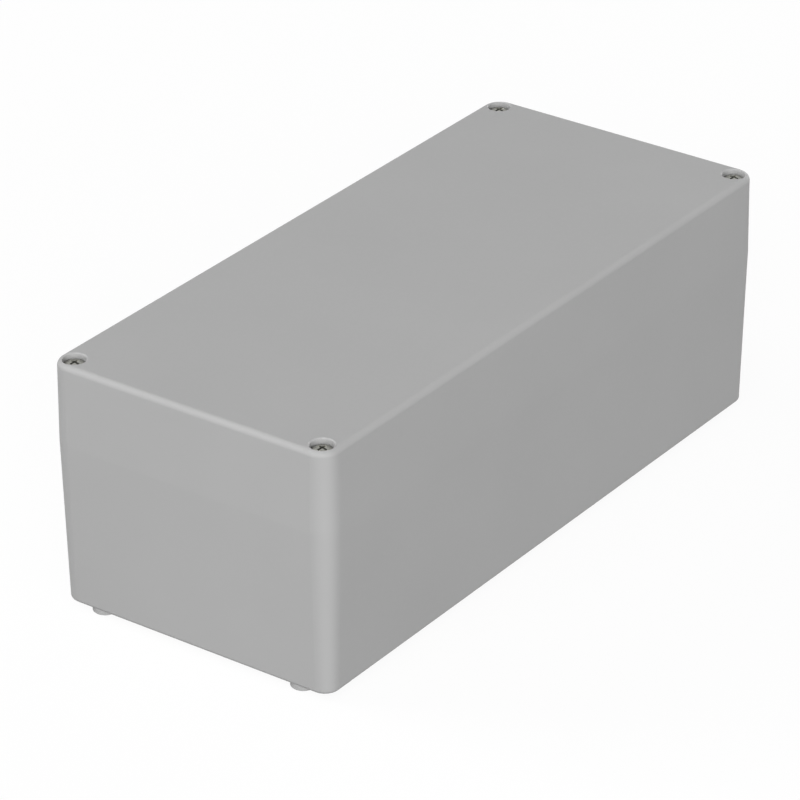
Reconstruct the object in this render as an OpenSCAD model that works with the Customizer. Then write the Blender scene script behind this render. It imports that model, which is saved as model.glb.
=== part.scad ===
// Moulded plastic enclosure: a deep base and a shallower lid, drafted both ways from the parting line.
// Four captive screws at the lid's corners go into brass inserts in the base's corner blocks.
// A tongue on the base's rim presses into a gasket in the lid. X is the length, Y the width, and Z = 0
// is the plane that the feet stand on.

/* [Body] */
// Outside length at the parting line
body_l = 271.5; // [230:0.5:340]
// Outside width at the parting line
body_w = 120; // [100:0.5:160]
// Height of the base, from its underside to the parting line
base_h = 63.75; // [45:0.25:110]
// Height of the lid, from the parting line to its top face
lid_h = 31.5; // [26:0.5:45]
// Corner radius in plan, at the parting line
corner_r = 7.5; // [6:0.25:9]
// Radius of the lid's top edge
top_edge_r = 2.25; // [1:0.25:3]
// Radius of the base's lower edge
bottom_edge_r = 1.5; // [0.5:0.1:2]
// Draft of the base's walls, in degrees
base_draft = 1.4; // [0.5:0.1:1.6]
// Draft of the lid's walls, in degrees
lid_draft = 0.65; // [0.4:0.05:1.5]

/* [Walls] */
// Thickness of the side walls, and of the walls between cavity and corner blocks
wall = 3.6; // [3.2:0.1:4.2]
// Thickness of the base's floor
floor_t = 3.5; // [2.5:0.1:5]
// Thickness of the lid's top
top_t = 3.5; // [2.5:0.1:4.5]
// Radius of the cavity's upright corners, at the parting line
cavity_r = 4.5; // [4:0.25:5]
// Chamfer along the edge of the base's floor and of the lid's ceiling, inside
cavity_chamfer = 0.8; // [0.4:0.1:0.8]

/* [Seal] */
// Width of the tongue on the base's rim
tongue_w = 1.4; // [1:0.1:1.6]
// Height of the tongue above the parting line
tongue_h = 2; // [1.5:0.1:3]
// Gap between the tongue and each side of the groove
tongue_gap = 0.2; // [0.15:0.05:0.3]
// Height of the gasket between the tongue and the groove's roof
gasket_h = 1.6; // [1:0.1:2.5]
// Gap between the gasket and each side of the groove
gasket_gap = 0.05; // [0.02:0.01:0.1]

/* [Lid screws] */
// Distance of the screw axes from the outside, at the parting line
screw_inset = 6.7; // [6.4:0.1:7.5]
// Diameter of the screw's head
head_d = 8; // [6.5:0.1:8.2]
// Height of the screw's head
head_h = 3.1; // [2.4:0.1:3.6]
// Depth of the head's crown below the lid's top
head_sink = 1.2; // [0.5:0.1:4]
// Radius of the head's domed crown
crown_r = 10; // [8:0.5:20]
// Radius of the head's upper edge
head_edge_r = 1; // [0.6:0.1:1.4]
// Chamfer round the rim of the well that the head is sunk in
well_chamfer = 0.4; // [0.2:0.05:0.5]
// Length of the cross recess, tip to tip
recess_l = 4.4; // [3.5:0.1:5]
// Width of each slot of the cross recess
recess_w = 0.9; // [0.7:0.05:1.2]
// Depth of the cross recess
recess_h = 2; // [1.2:0.1:2.2]
// Diameter of the screw's plain shank
shank_d = 3.2; // [2.8:0.1:3.4]
// Diameter of the screw's threaded end
thread_d = 4; // [3.8:0.1:4.4]
// Length of the threaded end, below the parting line
thread_l = 13.6; // [11:0.1:18]
// Gap around the head in its well
head_gap = 0.3; // [0.2:0.05:0.5]
// Gap around the shank in the web that keeps the screw captive
shank_gap = 0.1; // [0.08:0.01:0.2]
// Gap around the threaded end in the lid and below the insert
thread_gap = 0.3; // [0.2:0.05:0.4]
// Thickness of the web under the screw's head
web_t = 4; // [2:0.5:6]
// Room under the screw's tip
tip_room = 2; // [1:0.5:4]

/* [Inserts] */
// Outside diameter of the brass insert
insert_d = 5.8; // [5.2:0.1:6.4]
// Length of the brass insert
insert_l = 10; // [6:0.5:12]
// Diameter of the groove round the insert's middle
insert_waist_d = 5; // [4.8:0.1:5.1]
// Width of that groove
insert_waist_w = 1.5; // [1:0.25:2.5]
// Gap between the insert and the plastic round it
insert_gap = 0.02; // [0.01:0.01:0.05]
// Gap between the screw's thread and the insert's bore
bore_gap = 0.05; // [0.02:0.01:0.1]
// Chamfer at both ends of the insert's bore
insert_lead = 0.25; // [0.1:0.05:0.25]

/* [Wall fixing and feet] */
// Distance from a screw axis to the fixing hole beside it
fixing_pitch = 9.5; // [9.2:0.1:14]
// Diameter of the fixing hole
fixing_d = 4.4; // [3.4:0.1:5]
// Diameter of the shaft that takes the fixing screw's head
shaft_d = 7.4; // [6:0.1:7.6]
// Diameter of a foot
foot_d = 9.3; // [7.5:0.1:10]
// Height of a foot
foot_h = 2; // [1:0.1:4]
// Chamfer round a foot's rim
foot_chamfer = 0.3; // [0.2:0.05:0.6]

/* [Board bosses] */
// Distance of the outer bosses from the ends of the body
boss_inset_l = 27.5; // [24:0.5:50]
// Distance of the bosses from the sides of the body
boss_inset_w = 20; // [14:0.5:35]
// Diameter of a boss
boss_d = 7; // [5.5:0.1:9]
// How far a boss's foot flares out
boss_flare = 0.8; // [0.4:0.1:1.5]
// Height of a boss above the base's floor
base_boss_h = 6; // [3:0.5:12]
// Height of a boss under the lid's top
lid_boss_h = 5; // [3:0.5:10]
// Diameter of the screw hole in a boss
boss_hole_d = 2.8; // [2:0.1:3.5]
// Thickness left under the screw hole
boss_skin = 2; // [1.5:0.1:2.5]

/* [Board guides] */
// Number of upright board guides on each long wall
guide_count = 5; // [1:1:5]
// Distance from one guide to the next
guide_pitch = 40; // [20:1:42]
// Width of a guide's slot
guide_slot_w = 2; // [1.6:0.1:2.6]
// Thickness of the two ribs of a guide
guide_rib_t = 1.4; // [1:0.1:2]
// How far the ribs stand out of the wall at the floor
guide_rib_h = 2; // [1.5:0.1:3]
// Distance of the ribs' upper end below the parting line
guide_drop = 10; // [4:1:20]
// How far each rib is cut back at its upper end, to let a board into the slot
guide_lead = 0.7; // [0.4:0.1:0.8]

/* [Hidden] */
$fn = 64;
CORNERS = [[-1, -1], [1, -1], [1, 1], [-1, 1]];

// How far a cutter runs past the face that it opens, and the tongue into the rim that carries it
past = 1;

parting_z = foot_h + base_h;
top_z = parting_z + lid_h;
floor_z = foot_h + floor_t;
ceiling_z = top_z - top_t;

screw_x = body_l / 2 - screw_inset;
screw_y = body_w / 2 - screw_inset;
fixing_y = screw_y - fixing_pitch;

// Corner blocks, measured in from the outside at the parting line
block_l = screw_inset + shaft_d / 2 + wall;
block_w = screw_inset + fixing_pitch + shaft_d / 2 + wall;
cavity_l = body_l - 2 * wall;
cavity_w = body_w - 2 * wall;
between_blocks_l = body_l - 2 * block_l;
between_blocks_w = body_w - 2 * block_w;

groove_w = tongue_w + 2 * tongue_gap;
groove_top_z = parting_z + tongue_h + gasket_h;

seat_z = top_z - head_sink - head_h;
screw_tip_z = parting_z - thread_l;
thread_hole_d = thread_d + 2 * thread_gap;
insert_bore_d = thread_d + 2 * bore_gap;

boss_x = body_l / 2 - boss_inset_l;
boss_y = body_w / 2 - boss_inset_w;
base_boss_z = floor_z + base_boss_h;
lid_boss_z = ceiling_z - lid_boss_h;

plastic_colour = [0.67, 0.67, 0.67];
rubber_colour = [0.12, 0.12, 0.12];
steel_colour = [0.55, 0.55, 0.52];
brass_colour = [0.78, 0.62, 0.3];

// Mirrors what is drawn in the +X +Y quarter to all four
module in_quarters() {
  for (c = CORNERS)
    mirror([c.x < 0 ? 1 : 0, 0, 0])
      mirror([0, c.y < 0 ? 1 : 0, 0])
        children();
}

// Sweeps a section round a rounded rectangle and fills the middle, up to z = h.
// The section's x runs outwards from the line of the corner centres.
module swept_block(l, w, r, h) {
  translate([r - l / 2, r - w / 2, 0]) cube([l - 2 * r, w - 2 * r, h]);
  for (turn = [0, 180]) {
    rotate(turn) side_run(l / 2 - r, w - 2 * r) children();
    rotate(turn + 90) side_run(w / 2 - r, l - 2 * r) children();
  }
  for (i = [0:3])
    translate([CORNERS[i].x * (l / 2 - r), CORNERS[i].y * (w / 2 - r), 0])
      rotate(180 + 90 * i)
        rotate_extrude(angle = 90)
          children();
}

// One straight side of a swept block, on the +X side
module side_run(x, run) {
  translate([x, run / 2, 0])
    rotate([90, 0, 0])
      linear_extrude(run)
        children();
}

// The same block from crossed bars and corner posts, for a section without arcs
module crossed_block(l, w, r, h) {
  bar(l, w - 2 * r, r, h) children();
  rotate(90) bar(w, l - 2 * r, r, h) children();
  for (c = CORNERS)
    translate([c.x * (l / 2 - r), c.y * (w / 2 - r), 0])
      rotate_extrude()
        children();
}

// A bar along Y with the section on both of its sides
module bar(width, length, r, h) {
  rotate([90, 0, 0])
    linear_extrude(length, center = true) {
      translate([r - width / 2, 0]) square([width - 2 * r, h]);
      for (side = [0, 1])
        mirror([side, 0]) translate([width / 2 - r, 0]) children();
    }
}

// Half section of a drafted block on z = 0, with its lower edge rounded, that widens to top_x at z = h.
// The wall is turned together with its edge, so that the two meet without a step.
module drafted_section(top_x, h, draft, edge_r) {
  edge_x = top_x - (h - edge_r) * tan(draft) - edge_r / cos(draft);
  intersection() {
    square([top_x + past, h]);
    union() {
      square([edge_x, h]);
      translate([edge_x, edge_r])
        rotate(-draft) {
          circle(edge_r);
          translate([-top_x, 0]) square([top_x + edge_r, h + past]);
        }
    }
  }
}

// The same half section with its lower edge chamfered instead of rounded
module chamfered_section(top_x, h, draft, chamfer) {
  edge_x = top_x - (h - chamfer) * tan(draft);
  polygon([[0, 0], [edge_x - chamfer, 0], [edge_x, chamfer], [top_x, h], [0, h]]);
}

// Sweeps a section round the cavity's outline, which leaves out the corner blocks, and fills the middle.
// The section's x runs outwards from cavity_r inside the outline, as in the blocks that it is made of.
module notched_block(h) {
  crossed_block(cavity_l, between_blocks_w, cavity_r, h) children();
  crossed_block(between_blocks_l, cavity_w, cavity_r, h) children();
  in_quarters()
    translate([between_blocks_l / 2, between_blocks_w / 2, 0])
      block_edge(h) children();
}

// The stretch of a notched block round the upright edge of a corner block
module block_edge(h) {
  reach = 2 * cavity_r;
  difference() {
    translate([-cavity_r, -cavity_r, 0]) cube([reach, reach, h]);
    translate([cavity_r, cavity_r, 0])
      rotate_extrude()
        difference() {
          square([reach, h + past]);
          translate([reach, 0]) mirror([1, 0]) children();
        }
  }
}

// A band that follows the middle of the walls, for the tongue, the groove and the gasket
module seal_band(band_w, z_low, z_high) {
  h = z_high - z_low;
  cut_h = h + 2 * past;
  outer_x = cavity_r + (wall + band_w) / 2;
  translate([0, 0, z_low])
    difference() {
      notched_block(h) square([outer_x, h]);
      translate([0, 0, -past]) notched_block(cut_h) square([outer_x - band_w, cut_h]);
    }
}

module at_screws() {
  for (c = CORNERS)
    translate([c.x * screw_x, c.y * screw_y, 0])
      children();
}

module at_fixings() {
  for (c = CORNERS)
    translate([c.x * screw_x, c.y * fixing_y, 0])
      children();
}

// Upright round bar or bore between two heights
module upright(d, z_low, z_high) {
  translate([0, 0, z_low]) cylinder(d = d, h = z_high - z_low);
}

// Half section of a screw's way through the lid: room for the thread, the web that keeps the screw captive,
// and the well that its head is sunk in
module screw_way_section() {
  web_z = seat_z - web_t;
  thread_x = thread_hole_d / 2;
  shank_x = shank_d / 2 + shank_gap;
  well_x = head_d / 2 + head_gap;
  polygon([
    [0, parting_z - past], [thread_x, parting_z - past], [thread_x, web_z],
    [shank_x, web_z], [shank_x, seat_z], [well_x, seat_z],
    [well_x, top_z - well_chamfer], [well_x + well_chamfer + past, top_z + past], [0, top_z + past]
  ]);
}

module base_cavity() {
  h = parting_z - floor_z + past;
  translate([0, 0, floor_z])
    notched_block(h)
      chamfered_section(cavity_r + past * tan(base_draft), h, base_draft, cavity_chamfer);
}

module lid_cavity() {
  h = ceiling_z - parting_z + past;
  translate([0, 0, ceiling_z])
    mirror([0, 0, 1])
      notched_block(h)
        chamfered_section(cavity_r + past * tan(lid_draft), h, lid_draft, cavity_chamfer);
}

module foot() {
  rotate_extrude()
    polygon([
      [0, 0], [foot_d / 2 - foot_chamfer, 0], [foot_d / 2, foot_chamfer],
      [foot_d / 2, foot_h + bottom_edge_r], [0, foot_h + bottom_edge_r]
    ]);
}

// Board boss with a flared foot, from z = 0 up, and the root of that foot below
module boss(h, root) {
  rotate_extrude()
    polygon([
      [0, -root], [boss_d / 2 + boss_flare + root, -root], [boss_d / 2, boss_flare],
      [boss_d / 2, h], [0, h]
    ]);
}

// Places for bosses in pairs across the body, in rows given as shares of the outer rows' distance
module at_bosses(rows) {
  for (row = rows, side = [-1, 1])
    translate([row * boss_x, side * boss_y, 0])
      children();
}

// Pairs of upright ribs inside the long walls, for boards that stand across the base
module board_guides() {
  wall_in_y = body_w / 2 - wall;
  rib_in_y = wall_in_y - (parting_z - floor_z) * tan(base_draft) - guide_rib_h;
  for (i = [0:guide_count - 1], edge = [0, 1], side = [0, 1])
    mirror([0, side, 0])
      translate([(i - (guide_count - 1) / 2) * guide_pitch, wall_in_y, 0])
        mirror([edge, 0, 0])
          rotate([90, 0, 0])
            linear_extrude(wall_in_y - rib_in_y)
              guide_rib_section();
}

// One rib of a guide beside its slot, cut back at the top to let a board in
module guide_rib_section() {
  slot_x = guide_slot_w / 2;
  rib_low_z = floor_z - floor_t / 2;
  rib_top_z = parting_z - guide_drop;
  lead_h = 2 * guide_lead;
  polygon([
    [slot_x, rib_low_z], [slot_x + guide_rib_t, rib_low_z], [slot_x + guide_rib_t, rib_top_z],
    [slot_x + guide_lead, rib_top_z], [slot_x, rib_top_z - lead_h]
  ]);
}

// The base before its bosses and guides
module base_shell() {
  difference() {
    union() {
      translate([0, 0, foot_h])
        swept_block(body_l, body_w, corner_r, base_h)
          drafted_section(corner_r, base_h, base_draft, bottom_edge_r);
      seal_band(tongue_w, parting_z - past, parting_z + tongue_h);
      at_fixings() foot();
    }
    base_cavity();
    at_fixings() {
      upright(fixing_d, -past, floor_z + past);
      upright(shaft_d, floor_z, parting_z + past);
    }
    at_screws() {
      upright(insert_d + 2 * insert_gap, parting_z - insert_l, parting_z + past);
      upright(thread_hole_d, screw_tip_z - tip_room, parting_z);
    }
  }
}

module enclosure_base() {
  color(plastic_colour)
    difference() {
      union() {
        base_shell();
        board_guides();
        at_bosses([-1, 0, 1]) translate([0, 0, floor_z]) boss(base_boss_h, floor_t / 2);
      }
      at_bosses([-1, 0, 1]) upright(boss_hole_d, foot_h + boss_skin, base_boss_z + past);
    }
}

// The lid before its bosses
module lid_shell() {
  difference() {
    translate([0, 0, top_z])
      mirror([0, 0, 1])
        swept_block(body_l, body_w, corner_r, lid_h)
          drafted_section(corner_r, lid_h, lid_draft, top_edge_r);
    lid_cavity();
    seal_band(groove_w, parting_z - past, groove_top_z);
    at_fixings() upright(shaft_d, parting_z - past, ceiling_z);
    at_screws() rotate_extrude() screw_way_section();
  }
}

module enclosure_lid() {
  color(plastic_colour)
    difference() {
      union() {
        lid_shell();
        at_bosses([-1, 1]) translate([0, 0, ceiling_z]) mirror([0, 0, 1]) boss(lid_boss_h, top_t / 2);
      }
      at_bosses([-1, 1]) upright(boss_hole_d, lid_boss_z - past, top_z - boss_skin);
    }
}

module lid_gasket() {
  color(rubber_colour) seal_band(groove_w - 2 * gasket_gap, parting_z + tongue_h, groove_top_z);
}

// Half section of the screw: plain shank, threaded end with a chamfered tip, and a domed pan head
// whose crown runs smoothly into its rounded edge
module screw_section() {
  tip_chamfer = (thread_d - shank_d) / 2;
  crown_z = seat_z + head_h - crown_r;
  edge_x = head_d / 2 - head_edge_r;
  edge_rise = sqrt(pow(crown_r - head_edge_r, 2) - pow(edge_x, 2));
  tangent = crown_r / (crown_r - head_edge_r) * [edge_x, edge_rise];
  polygon([
    [0, screw_tip_z], [thread_d / 2 - tip_chamfer, screw_tip_z], [thread_d / 2, screw_tip_z + tip_chamfer],
    [thread_d / 2, parting_z], [shank_d / 2, parting_z], [shank_d / 2, seat_z],
    [head_d / 2, seat_z], [head_d / 2, crown_z + edge_rise],
    [tangent.x, crown_z + tangent.y], [0, crown_z + tangent.y]
  ]);
  translate([edge_x, crown_z + edge_rise]) circle(head_edge_r);
  intersection() {
    translate([0, crown_z]) circle(crown_r);
    translate([0, crown_z + tangent.y]) square([tangent.x, head_h]);
  }
}

module lid_screw(number) {
  c = CORNERS[number - 1];
  color(steel_colour)
    translate([c.x * screw_x, c.y * screw_y, 0])
      difference() {
        rotate_extrude() screw_section();
        for (turn = [0, 90])
          rotate(turn)
            translate([-recess_l / 2, -recess_w / 2, seat_z + head_h - recess_h])
              cube([recess_l, recess_w, recess_h + past]);
      }
}

// Half section of the insert: a turned bush, grooved round its middle, with its bore chamfered at both ends
module insert_section() {
  outer_r = insert_d / 2;
  bore_r = insert_bore_d / 2;
  low_z = parting_z - insert_l;
  waist_low_z = low_z + (insert_l - insert_waist_w) / 2;
  difference() {
    polygon([
      [bore_r, low_z + insert_lead], [bore_r + insert_lead, low_z], [outer_r, low_z],
      [outer_r, parting_z], [bore_r + insert_lead, parting_z], [bore_r, parting_z - insert_lead]
    ]);
    translate([insert_waist_d / 2, waist_low_z]) square([insert_d, insert_waist_w]);
  }
}

module threaded_insert(number) {
  c = CORNERS[number - 1];
  color(brass_colour)
    translate([c.x * screw_x, c.y * screw_y, 0])
      rotate_extrude()
        insert_section();
}

enclosure_base();
enclosure_lid();
lid_gasket();
lid_screw(1);  // lid_screw_1
lid_screw(2);  // lid_screw_2
lid_screw(3);  // lid_screw_3
lid_screw(4);  // lid_screw_4
threaded_insert(1);  // threaded_insert_1
threaded_insert(2);  // threaded_insert_2
threaded_insert(3);  // threaded_insert_3
threaded_insert(4);  // threaded_insert_4
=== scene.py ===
"""Looks of the moulded plastic enclosure: grained grey plastic, sunk cross-head screws, brass and rubber."""
import math

import bmesh
import bpy
from mathutils import Matrix, Vector


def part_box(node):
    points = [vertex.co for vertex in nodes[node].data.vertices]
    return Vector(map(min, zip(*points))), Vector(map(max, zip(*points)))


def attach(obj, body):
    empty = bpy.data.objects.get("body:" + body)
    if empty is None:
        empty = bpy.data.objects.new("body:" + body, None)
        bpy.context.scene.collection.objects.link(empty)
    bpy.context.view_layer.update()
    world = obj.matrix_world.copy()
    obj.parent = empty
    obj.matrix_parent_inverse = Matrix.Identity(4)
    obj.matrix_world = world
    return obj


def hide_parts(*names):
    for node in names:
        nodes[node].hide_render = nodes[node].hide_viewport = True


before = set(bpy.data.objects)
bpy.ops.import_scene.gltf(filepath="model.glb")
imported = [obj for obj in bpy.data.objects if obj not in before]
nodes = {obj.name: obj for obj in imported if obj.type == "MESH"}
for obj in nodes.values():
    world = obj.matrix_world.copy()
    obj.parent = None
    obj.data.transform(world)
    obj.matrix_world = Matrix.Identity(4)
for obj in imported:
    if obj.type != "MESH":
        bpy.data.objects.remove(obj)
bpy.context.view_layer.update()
MM = 0.001

# Camera: the photograph's viewing angle, in degrees, and its place, in metres
AZIMUTH = -54.095
ELEVATION = 28.104
ROLL = -0.316
DISTANCE = 1.6211
SIDE_SHIFT = -0.00646
UP_SHIFT = -0.00773
AIM = Vector((0, 0, 0.04995))
LENS_MM = 200.0
SENSOR_MM = 36.0

# Screw head and shank, in millimetres, as in the solids
HEAD_H = 3.1
HEAD_EDGE_R = 1.0
CROWN_R = 10.0
SHANK_D = 3.2

# Cross recess, in millimetres: size at the top and at the floor, and the cutter's rise above the head
RECESS_L = 4.4
RECESS_FLOOR_L = 1.9
RECESS_W = 0.9
RECESS_FLOOR_W = 0.65
RECESS_DEPTH = 2.0
RECESS_RISE = 1.0
# Turn of each screw's cross recess from the enclosure's own axes, in degrees
CROSS_TURN = {1: -8, 2: -3, 3: -12, 4: -6}

# Screw thread, in millimetres, with the plain stretches before its start and after its end
THREAD_D = 4.0
THREAD_ROOT_D = 3.3
THREAD_L = 13.6
THREAD_PITCH = 0.7
THREAD_START = 0.6
THREAD_RUNOUT = 0.4
TIP_CHAMFER = 0.4
# Thread ridge: half widths at root and crest, as shares of the pitch, and millimetres sunk in the core
RIDGE_ROOT = 0.42
RIDGE_CREST = 0.08
RIDGE_SUNK = 0.05

# Fineness of the screws: steps round the axis, in a turn of thread, over the head's edge and its crown
SEGMENTS = 64
THREAD_STEPS = 40
EDGE_STEPS = 8
CROWN_STEPS = 5
# Angle between faces, in degrees, up to which an edge is shaded smooth
SMOOTH_ANGLE = 35

# Colours: the darker and the lighter tone of each material
PLASTIC_TONES = ((0.374, 0.374, 0.374), (0.386, 0.386, 0.386))
STEEL_TONES = ((0.25, 0.25, 0.225), (0.33, 0.33, 0.305))
BRASS_TONES = ((0.55, 0.36, 0.12), (0.72, 0.52, 0.22))
RUBBER_TONES = ((0.022, 0.022, 0.023), (0.036, 0.036, 0.037))
WHITE = (1, 1, 1, 1)
PLASTIC_IOR = 1.45
# Noise values between which a colour or a roughness changes
NOISE_LOW = 0.3
NOISE_HIGH = 0.7

# Light: strength of the even light from all round, and soft boxes as (azimuth, elevation, watts)
AMBIENT = 0.2
SOFTBOX_DISTANCE = 4.0
SOFTBOX_SIZE = 2.0
SOFTBOXES = [
    (-162, 20, 27),
    (-162, 35, 56),
    (-90, 35, 46),
    (-54, 20, 100),
    (-18, 8, 76),
    (90, 8, 85),
]

# Floor: size in metres, tone, the share of the shadow that is seen, and how much light it throws back
FLOOR_SIZE = 12.0
FLOOR_TONE = 0.96
FLOOR_SHADOW = 0.07
FLOOR_BOUNCE = 0.06


class Look:
    """A new material, with helpers that add nodes to it and link them to its shader."""

    def __init__(self, name):
        self.material = bpy.data.materials.new(name)
        self.material.use_nodes = True
        self.tree = self.material.node_tree
        self.shader = self.tree.nodes["Principled BSDF"]

    def add(self, kind, **inputs):
        """A new node with some inputs set, their names written with underscores for spaces."""
        node = self.tree.nodes.new(kind)
        for key, value in inputs.items():
            node.inputs[key.replace("_", " ")].default_value = value
        return node

    def link(self, output, node, key):
        """Links an output to a node's input, which is given by its name or its number."""
        self.tree.links.new(output, node.inputs[key])

    def noise(self, scale, detail, roughness=0.5):
        """Noise in the piece's own space, with its scale in cycles per metre."""
        place = self.add("ShaderNodeTexCoord")
        noise = self.add("ShaderNodeTexNoise", Scale=scale, Detail=detail, Roughness=roughness)
        self.link(place.outputs["Object"], noise, "Vector")
        return noise.outputs["Fac"]

    def set_colour(self, noise, tones):
        """Mixes the two tones by a noise value."""
        ramp = self.add("ShaderNodeValToRGB")
        stops = ramp.color_ramp.elements
        stops[0].position = NOISE_LOW
        stops[1].position = NOISE_HIGH
        for stop, tone in zip(stops, tones):
            stop.color = (*tone, 1)
        self.link(noise, ramp, "Fac")
        self.link(ramp.outputs["Color"], self.shader, "Base Color")

    def set_roughness(self, noise, low, high):
        """Spreads a noise value over a range of roughness."""
        ends = {"From_Min": NOISE_LOW, "From_Max": NOISE_HIGH, "To_Min": low, "To_Max": high}
        spread = self.add("ShaderNodeMapRange", **ends)
        self.link(noise, spread, "Value")
        self.link(spread.outputs["Result"], self.shader, "Roughness")

    def set_bump(self, noise, strength, depth):
        """Bumps the surface by a noise value, with the depth in metres."""
        bump = self.add("ShaderNodeBump", Strength=strength, Distance=depth)
        self.link(noise, bump, "Height")
        self.link(bump.outputs["Normal"], self.shader, "Normal")

    def set_value(self, name, value):
        """Sets one input of the shader."""
        self.shader.inputs[name].default_value = value


def plastic_material():
    """Light grey moulded plastic with a fine eroded grain and faint cloudiness."""
    look = Look("grained_plastic")
    cloud = look.noise(scale=18, detail=3)
    look.set_colour(cloud, PLASTIC_TONES)
    sheen = look.noise(scale=900, detail=2)
    look.set_roughness(sheen, low=0.58, high=0.66)
    grain = look.noise(scale=3200, detail=3, roughness=0.6)
    look.set_bump(grain, strength=0.25, depth=0.04 * MM)
    look.set_value("IOR", PLASTIC_IOR)
    return look.material


def steel_material():
    """Dull plated steel with fine marks and darker patches."""
    look = Look("plated_steel")
    patch = look.noise(scale=700, detail=4)
    look.set_colour(patch, STEEL_TONES)
    look.set_roughness(patch, low=0.34, high=0.48)
    scratch = look.noise(scale=5200, detail=2)
    look.set_bump(scratch, strength=0.2, depth=0.02 * MM)
    look.set_value("Metallic", 1)
    return look.material


def brass_material():
    """Turned brass with a slight tarnish."""
    look = Look("turned_brass")
    tarnish = look.noise(scale=900, detail=4)
    look.set_colour(tarnish, BRASS_TONES)
    look.set_roughness(tarnish, low=0.25, high=0.4)
    marks = look.noise(scale=6000, detail=2)
    look.set_bump(marks, strength=0.15, depth=0.02 * MM)
    look.set_value("Metallic", 1)
    return look.material


def rubber_material():
    """Black gasket rubber with a fine cellular skin."""
    look = Look("gasket_rubber")
    skin = look.noise(scale=1500, detail=3)
    look.set_colour(skin, RUBBER_TONES)
    look.set_roughness(skin, low=0.62, high=0.78)
    look.set_bump(skin, strength=0.4, depth=0.06 * MM)
    return look.material


def dress(node_name, material):
    """Gives a node of the frame a finished material."""
    slots = nodes[node_name].data.materials
    slots.clear()
    slots.append(material)


def add_revolve(bm, profile):
    """Adds a solid of revolution about Z to a bmesh, from (radius, height) points on an open line."""
    turns = [2 * math.pi * i / SEGMENTS for i in range(SEGMENTS)]
    rings = []
    for radius, height in profile:
        if radius == 0:
            rings.append([bm.verts.new((0, 0, height))])
            continue
        rings.append([bm.verts.new((radius * math.cos(t), radius * math.sin(t), height)) for t in turns])
    for low, high in zip(rings, rings[1:]):
        for i in range(SEGMENTS):
            j = (i + 1) % SEGMENTS
            corners = [low[i % len(low)], low[j % len(low)], high[j % len(high)], high[i % len(high)]]
            # On the axis two corners are the same point, which is taken once
            bm.faces.new(list(dict.fromkeys(corners)))


def add_thread(bm, z_low, z_high):
    """Adds a helical ridge round Z to a bmesh, running out to the root at both ends."""
    root_r = THREAD_ROOT_D / 2
    crest_r = THREAD_D / 2
    sunk_r = root_r - RIDGE_SUNK
    root_half = RIDGE_ROOT * THREAD_PITCH
    crest_half = RIDGE_CREST * THREAD_PITCH
    count = round(THREAD_STEPS * (z_high - z_low) / THREAD_PITCH)
    rows = []
    for i in range(count + 1):
        turn = 2 * math.pi * i / THREAD_STEPS
        middle = z_low + THREAD_PITCH * i / THREAD_STEPS
        fade = min(1, i / THREAD_STEPS, (count - i) / THREAD_STEPS)
        top_r = root_r + (crest_r - root_r) * fade
        row = []
        for r, z in ((sunk_r, -root_half), (top_r, -crest_half), (top_r, crest_half), (sunk_r, root_half)):
            row.append(bm.verts.new((r * math.cos(turn), r * math.sin(turn), middle + z)))
        rows.append(row)
    for a, b in zip(rows, rows[1:]):
        for k in range(4):
            m = (k + 1) % 4
            bm.faces.new((a[k], b[k], b[m], a[m]))
    bm.faces.new(rows[0])
    bm.faces.new(rows[-1][::-1])


def finished_mesh(bm, name):
    """Turns a bmesh in millimetres into an object in metres, with smooth shading up to an angle."""
    bmesh.ops.recalc_face_normals(bm, faces=bm.faces)
    bmesh.ops.scale(bm, vec=(MM, MM, MM), verts=bm.verts)
    for face in bm.faces:
        face.smooth = True
    for edge in bm.edges:
        edge.smooth = len(edge.link_faces) == 2 and edge.calc_face_angle() < math.radians(SMOOTH_ANGLE)
    mesh = bpy.data.meshes.new(name)
    bm.to_mesh(mesh)
    bm.free()
    piece = bpy.data.objects.new(name, mesh)
    bpy.context.scene.collection.objects.link(piece)
    return piece


def cut_with(piece, cutter):
    """Cuts one object's shape out of another and removes the cutter."""
    cut = piece.modifiers.new("cut", "BOOLEAN")
    cut.operation = "DIFFERENCE"
    cut.solver = "EXACT"
    cut.object = cutter
    bpy.context.view_layer.update()
    graph = bpy.context.evaluated_depsgraph_get()
    result = bpy.data.meshes.new_from_object(piece.evaluated_get(graph))
    piece.modifiers.clear()
    piece.data = result
    bpy.data.objects.remove(cutter)


def recess_wing(turn):
    """One of the two wings of the cross recess, tapered to its floor, for a head whose top is at z = 0."""
    beyond = RECESS_RISE / RECESS_DEPTH
    top_l = RECESS_L + (RECESS_L - RECESS_FLOOR_L) * beyond
    top_w = RECESS_W + (RECESS_W - RECESS_FLOOR_W) * beyond
    bm = bmesh.new()
    rings = []
    for z, length, width in ((-RECESS_DEPTH, RECESS_FLOOR_L, RECESS_FLOOR_W), (RECESS_RISE, top_l, top_w)):
        corners = [(-1, -1), (1, -1), (1, 1), (-1, 1)]
        rings.append([bm.verts.new((x * length / 2, y * width / 2, z)) for x, y in corners])
    floor, top = rings
    bm.faces.new(floor[::-1])
    bm.faces.new(top)
    for i in range(4):
        j = (i + 1) % 4
        bm.faces.new((floor[i], floor[j], top[j], top[i]))
    about_z = Matrix.Rotation(math.radians(turn), 3, "Z")
    bmesh.ops.rotate(bm, cent=(0, 0, 0), matrix=about_z, verts=bm.verts)
    return finished_mesh(bm, "recess_wing")


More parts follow.
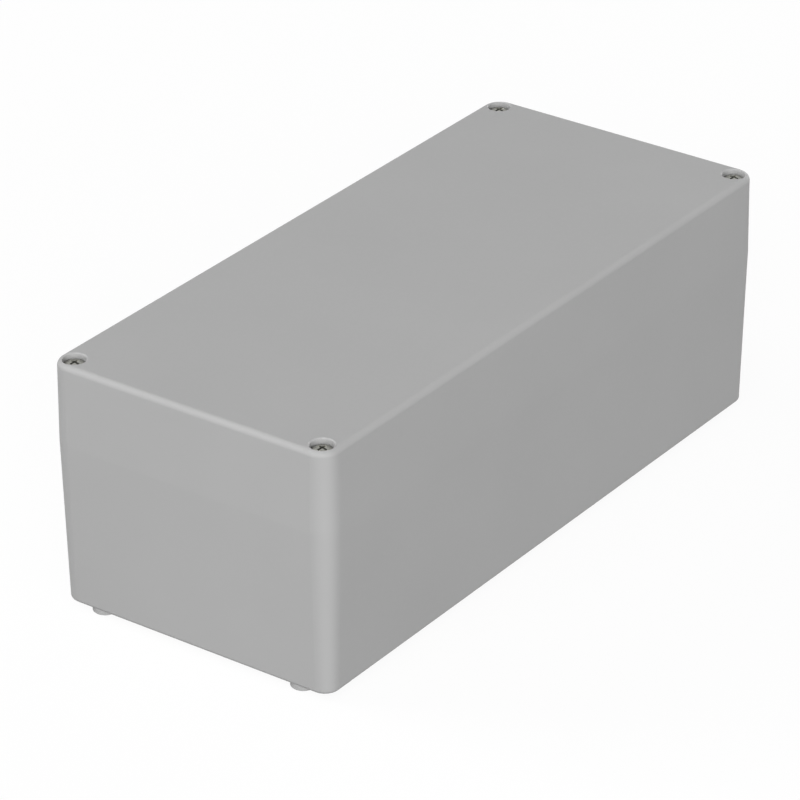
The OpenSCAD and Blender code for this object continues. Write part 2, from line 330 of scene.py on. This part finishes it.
def head_outline(head_r):
    """Half outline of the pan head, from its rounded edge to the top of its crown at height 0."""
    edge_x = head_r - HEAD_EDGE_R
    edge_rise = math.sqrt((CROWN_R - HEAD_EDGE_R) ** 2 - edge_x ** 2)
    slope = math.atan2(edge_x, edge_rise)
    points = []
    for i in range(EDGE_STEPS + 1):
        turn = slope + (math.pi / 2 - slope) * (1 - i / EDGE_STEPS)
        x = edge_x + HEAD_EDGE_R * math.sin(turn)
        points.append((x, edge_rise + HEAD_EDGE_R * math.cos(turn) - CROWN_R))
    for i in range(1, CROWN_STEPS):
        turn = slope * (CROWN_STEPS - i) / CROWN_STEPS
        points.append((CROWN_R * math.sin(turn), CROWN_R * math.cos(turn) - CROWN_R))
    points.append((0, 0))
    return points


def screw_outline(head_r, length):
    """Half outline of the screw without its thread, from its tip to the top of its crown at height 0."""
    root_r = THREAD_ROOT_D / 2
    shank_r = SHANK_D / 2
    thread_top = -length + THREAD_L
    return [
        (0, -length),
        (root_r - TIP_CHAMFER, -length),
        (root_r, -length + TIP_CHAMFER),
        (root_r, thread_top),
        (shank_r, thread_top),
        (shank_r, -HEAD_H),
        (head_r, -HEAD_H),
        *head_outline(head_r),
    ]


def screw_piece(number, cross_turn, material):
    """A captive cross-head screw: domed pan head with a tapered cross recess, plain shank, threaded end."""
    low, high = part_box(f"lid_screw_{number}")
    middle = (low + high) / 2
    head_r = (high.x - low.x) / 2 / MM
    length = (high.z - low.z) / MM
    name = f"cross_screw_{number}"
    bm = bmesh.new()
    add_revolve(bm, screw_outline(head_r, length))
    piece = finished_mesh(bm, name)
    for turn in (0, 90):
        cut_with(piece, recess_wing(turn + cross_turn))
    # The thread's ridge overlaps the core, so it goes on after the cuts
    bm = bmesh.new()
    bm.from_mesh(piece.data)
    bmesh.ops.scale(bm, vec=(1 / MM, 1 / MM, 1 / MM), verts=bm.verts)
    add_thread(bm, -length + THREAD_START, -length + THREAD_L - THREAD_RUNOUT)
    bpy.data.objects.remove(piece)
    piece = finished_mesh(bm, name)
    piece.data.transform(Matrix.Translation((middle.x, middle.y, high.z)))
    piece.data.materials.append(material)
    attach(piece, f"screw_{number}")
    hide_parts(f"lid_screw_{number}")


def toward(azimuth, elevation):
    """Direction from the object to a viewpoint, with azimuth 0 in front of the long side."""
    a = math.radians(azimuth)
    e = math.radians(elevation)
    return Vector((math.sin(a) * math.cos(e), -math.cos(a) * math.cos(e), math.sin(e)))


def add_camera():
    """The camera at the photograph's place, rolled about its own view."""
    back = toward(AZIMUTH, ELEVATION)
    level = toward(AZIMUTH + 90, 0)
    roll = math.radians(ROLL)
    upright = back.cross(level)
    right = level * math.cos(roll) + upright * math.sin(roll)
    up = upright * math.cos(roll) - level * math.sin(roll)
    data = bpy.data.cameras.new("camera")
    data.lens = LENS_MM
    data.sensor_width = SENSOR_MM
    camera = bpy.data.objects.new("camera", data)
    camera.matrix_world = Matrix((right, up, back)).transposed().to_4x4()
    camera.matrix_world.translation = AIM + back * DISTANCE + right * SIDE_SHIFT + up * UP_SHIFT
    bpy.context.scene.collection.objects.link(camera)
    bpy.context.scene.camera = camera


def add_softbox(azimuth, elevation, watts):
    """A square soft light that faces the object."""
    data = bpy.data.lights.new("softbox", "AREA")
    data.shape = "SQUARE"
    data.size = SOFTBOX_SIZE
    data.energy = watts
    light = bpy.data.objects.new("softbox", data)
    aim = toward(azimuth, elevation)
    light.location = AIM + aim * SOFTBOX_DISTANCE
    light.rotation_euler = aim.to_track_quat("Z", "Y").to_euler()
    bpy.context.scene.collection.objects.link(light)


def direct_rays(tree):
    """1 for the rays by which the background is seen: straight, mirrored or through glass."""
    path = tree.nodes.new("ShaderNodeLightPath")
    total = path.outputs["Is Camera Ray"]
    for name in ("Is Glossy Ray", "Is Transmission Ray"):
        either = tree.nodes.new("ShaderNodeMath")
        either.operation = "MAXIMUM"
        tree.links.new(total, either.inputs[0])
        tree.links.new(path.outputs[name], either.inputs[1])
        total = either.outputs[0]
    return total


def split_by_ray(tree, lighting, seen, output):
    """Uses one shader to light the object and another where the background itself is seen."""
    mix = tree.nodes.new("ShaderNodeMixShader")
    tree.links.new(direct_rays(tree), mix.inputs["Fac"])
    tree.links.new(lighting.outputs[0], mix.inputs[1])
    tree.links.new(seen.outputs[0], mix.inputs[2])
    tree.links.new(mix.outputs[0], tree.nodes[output].inputs["Surface"])


def add_world():
    """Even soft light from all round, seen as white."""
    world = bpy.data.worlds.new("studio")
    bpy.context.scene.world = world
    world.use_nodes = True
    tree = world.node_tree
    even = tree.nodes["Background"]
    white = tree.nodes.new("ShaderNodeBackground")
    for background, strength in ((even, AMBIENT), (white, 1)):
        background.inputs["Color"].default_value = WHITE
        background.inputs["Strength"].default_value = strength
    split_by_ray(tree, even, white, "World Output")


def add_floor():
    """A pale floor, seen as white with a share of the object's shadow on it."""
    bm = bmesh.new()
    bmesh.ops.create_grid(bm, x_segments=1, y_segments=1, size=FLOOR_SIZE / 2)
    mesh = bpy.data.meshes.new("floor")
    bm.to_mesh(mesh)
    bm.free()
    floor = bpy.data.objects.new("floor", mesh)
    bpy.context.scene.collection.objects.link(floor)
    look = Look("pale_floor")
    look.tree.nodes.remove(look.shader)
    dull = look.add("ShaderNodeBsdfDiffuse", Color=(FLOOR_BOUNCE, FLOOR_BOUNCE, FLOOR_BOUNCE, 1))
    pale = look.add("ShaderNodeBsdfDiffuse", Color=(FLOOR_TONE, FLOOR_TONE, FLOOR_TONE, 1))
    white = look.add("ShaderNodeEmission", Color=WHITE, Strength=1)
    seen = look.add("ShaderNodeMixShader", Fac=1 - FLOOR_SHADOW)
    look.link(pale.outputs[0], seen, 1)
    look.link(white.outputs[0], seen, 2)
    split_by_ray(look.tree, dull, seen, "Material Output")
    mesh.materials.append(look.material)


plastic = plastic_material()
for name in ("enclosure_base", "enclosure_lid"):
    dress(name, plastic)
dress("lid_gasket", rubber_material())
brass = brass_material()
steel = steel_material()
for number, cross_turn in CROSS_TURN.items():
    dress(f"threaded_insert_{number}", brass)
    screw_piece(number, cross_turn, steel)

add_camera()
add_world()
for azimuth, elevation, watts in SOFTBOXES:
    add_softbox(azimuth, elevation, watts)
add_floor()
bpy.context.scene.view_settings.view_transform = "Standard"
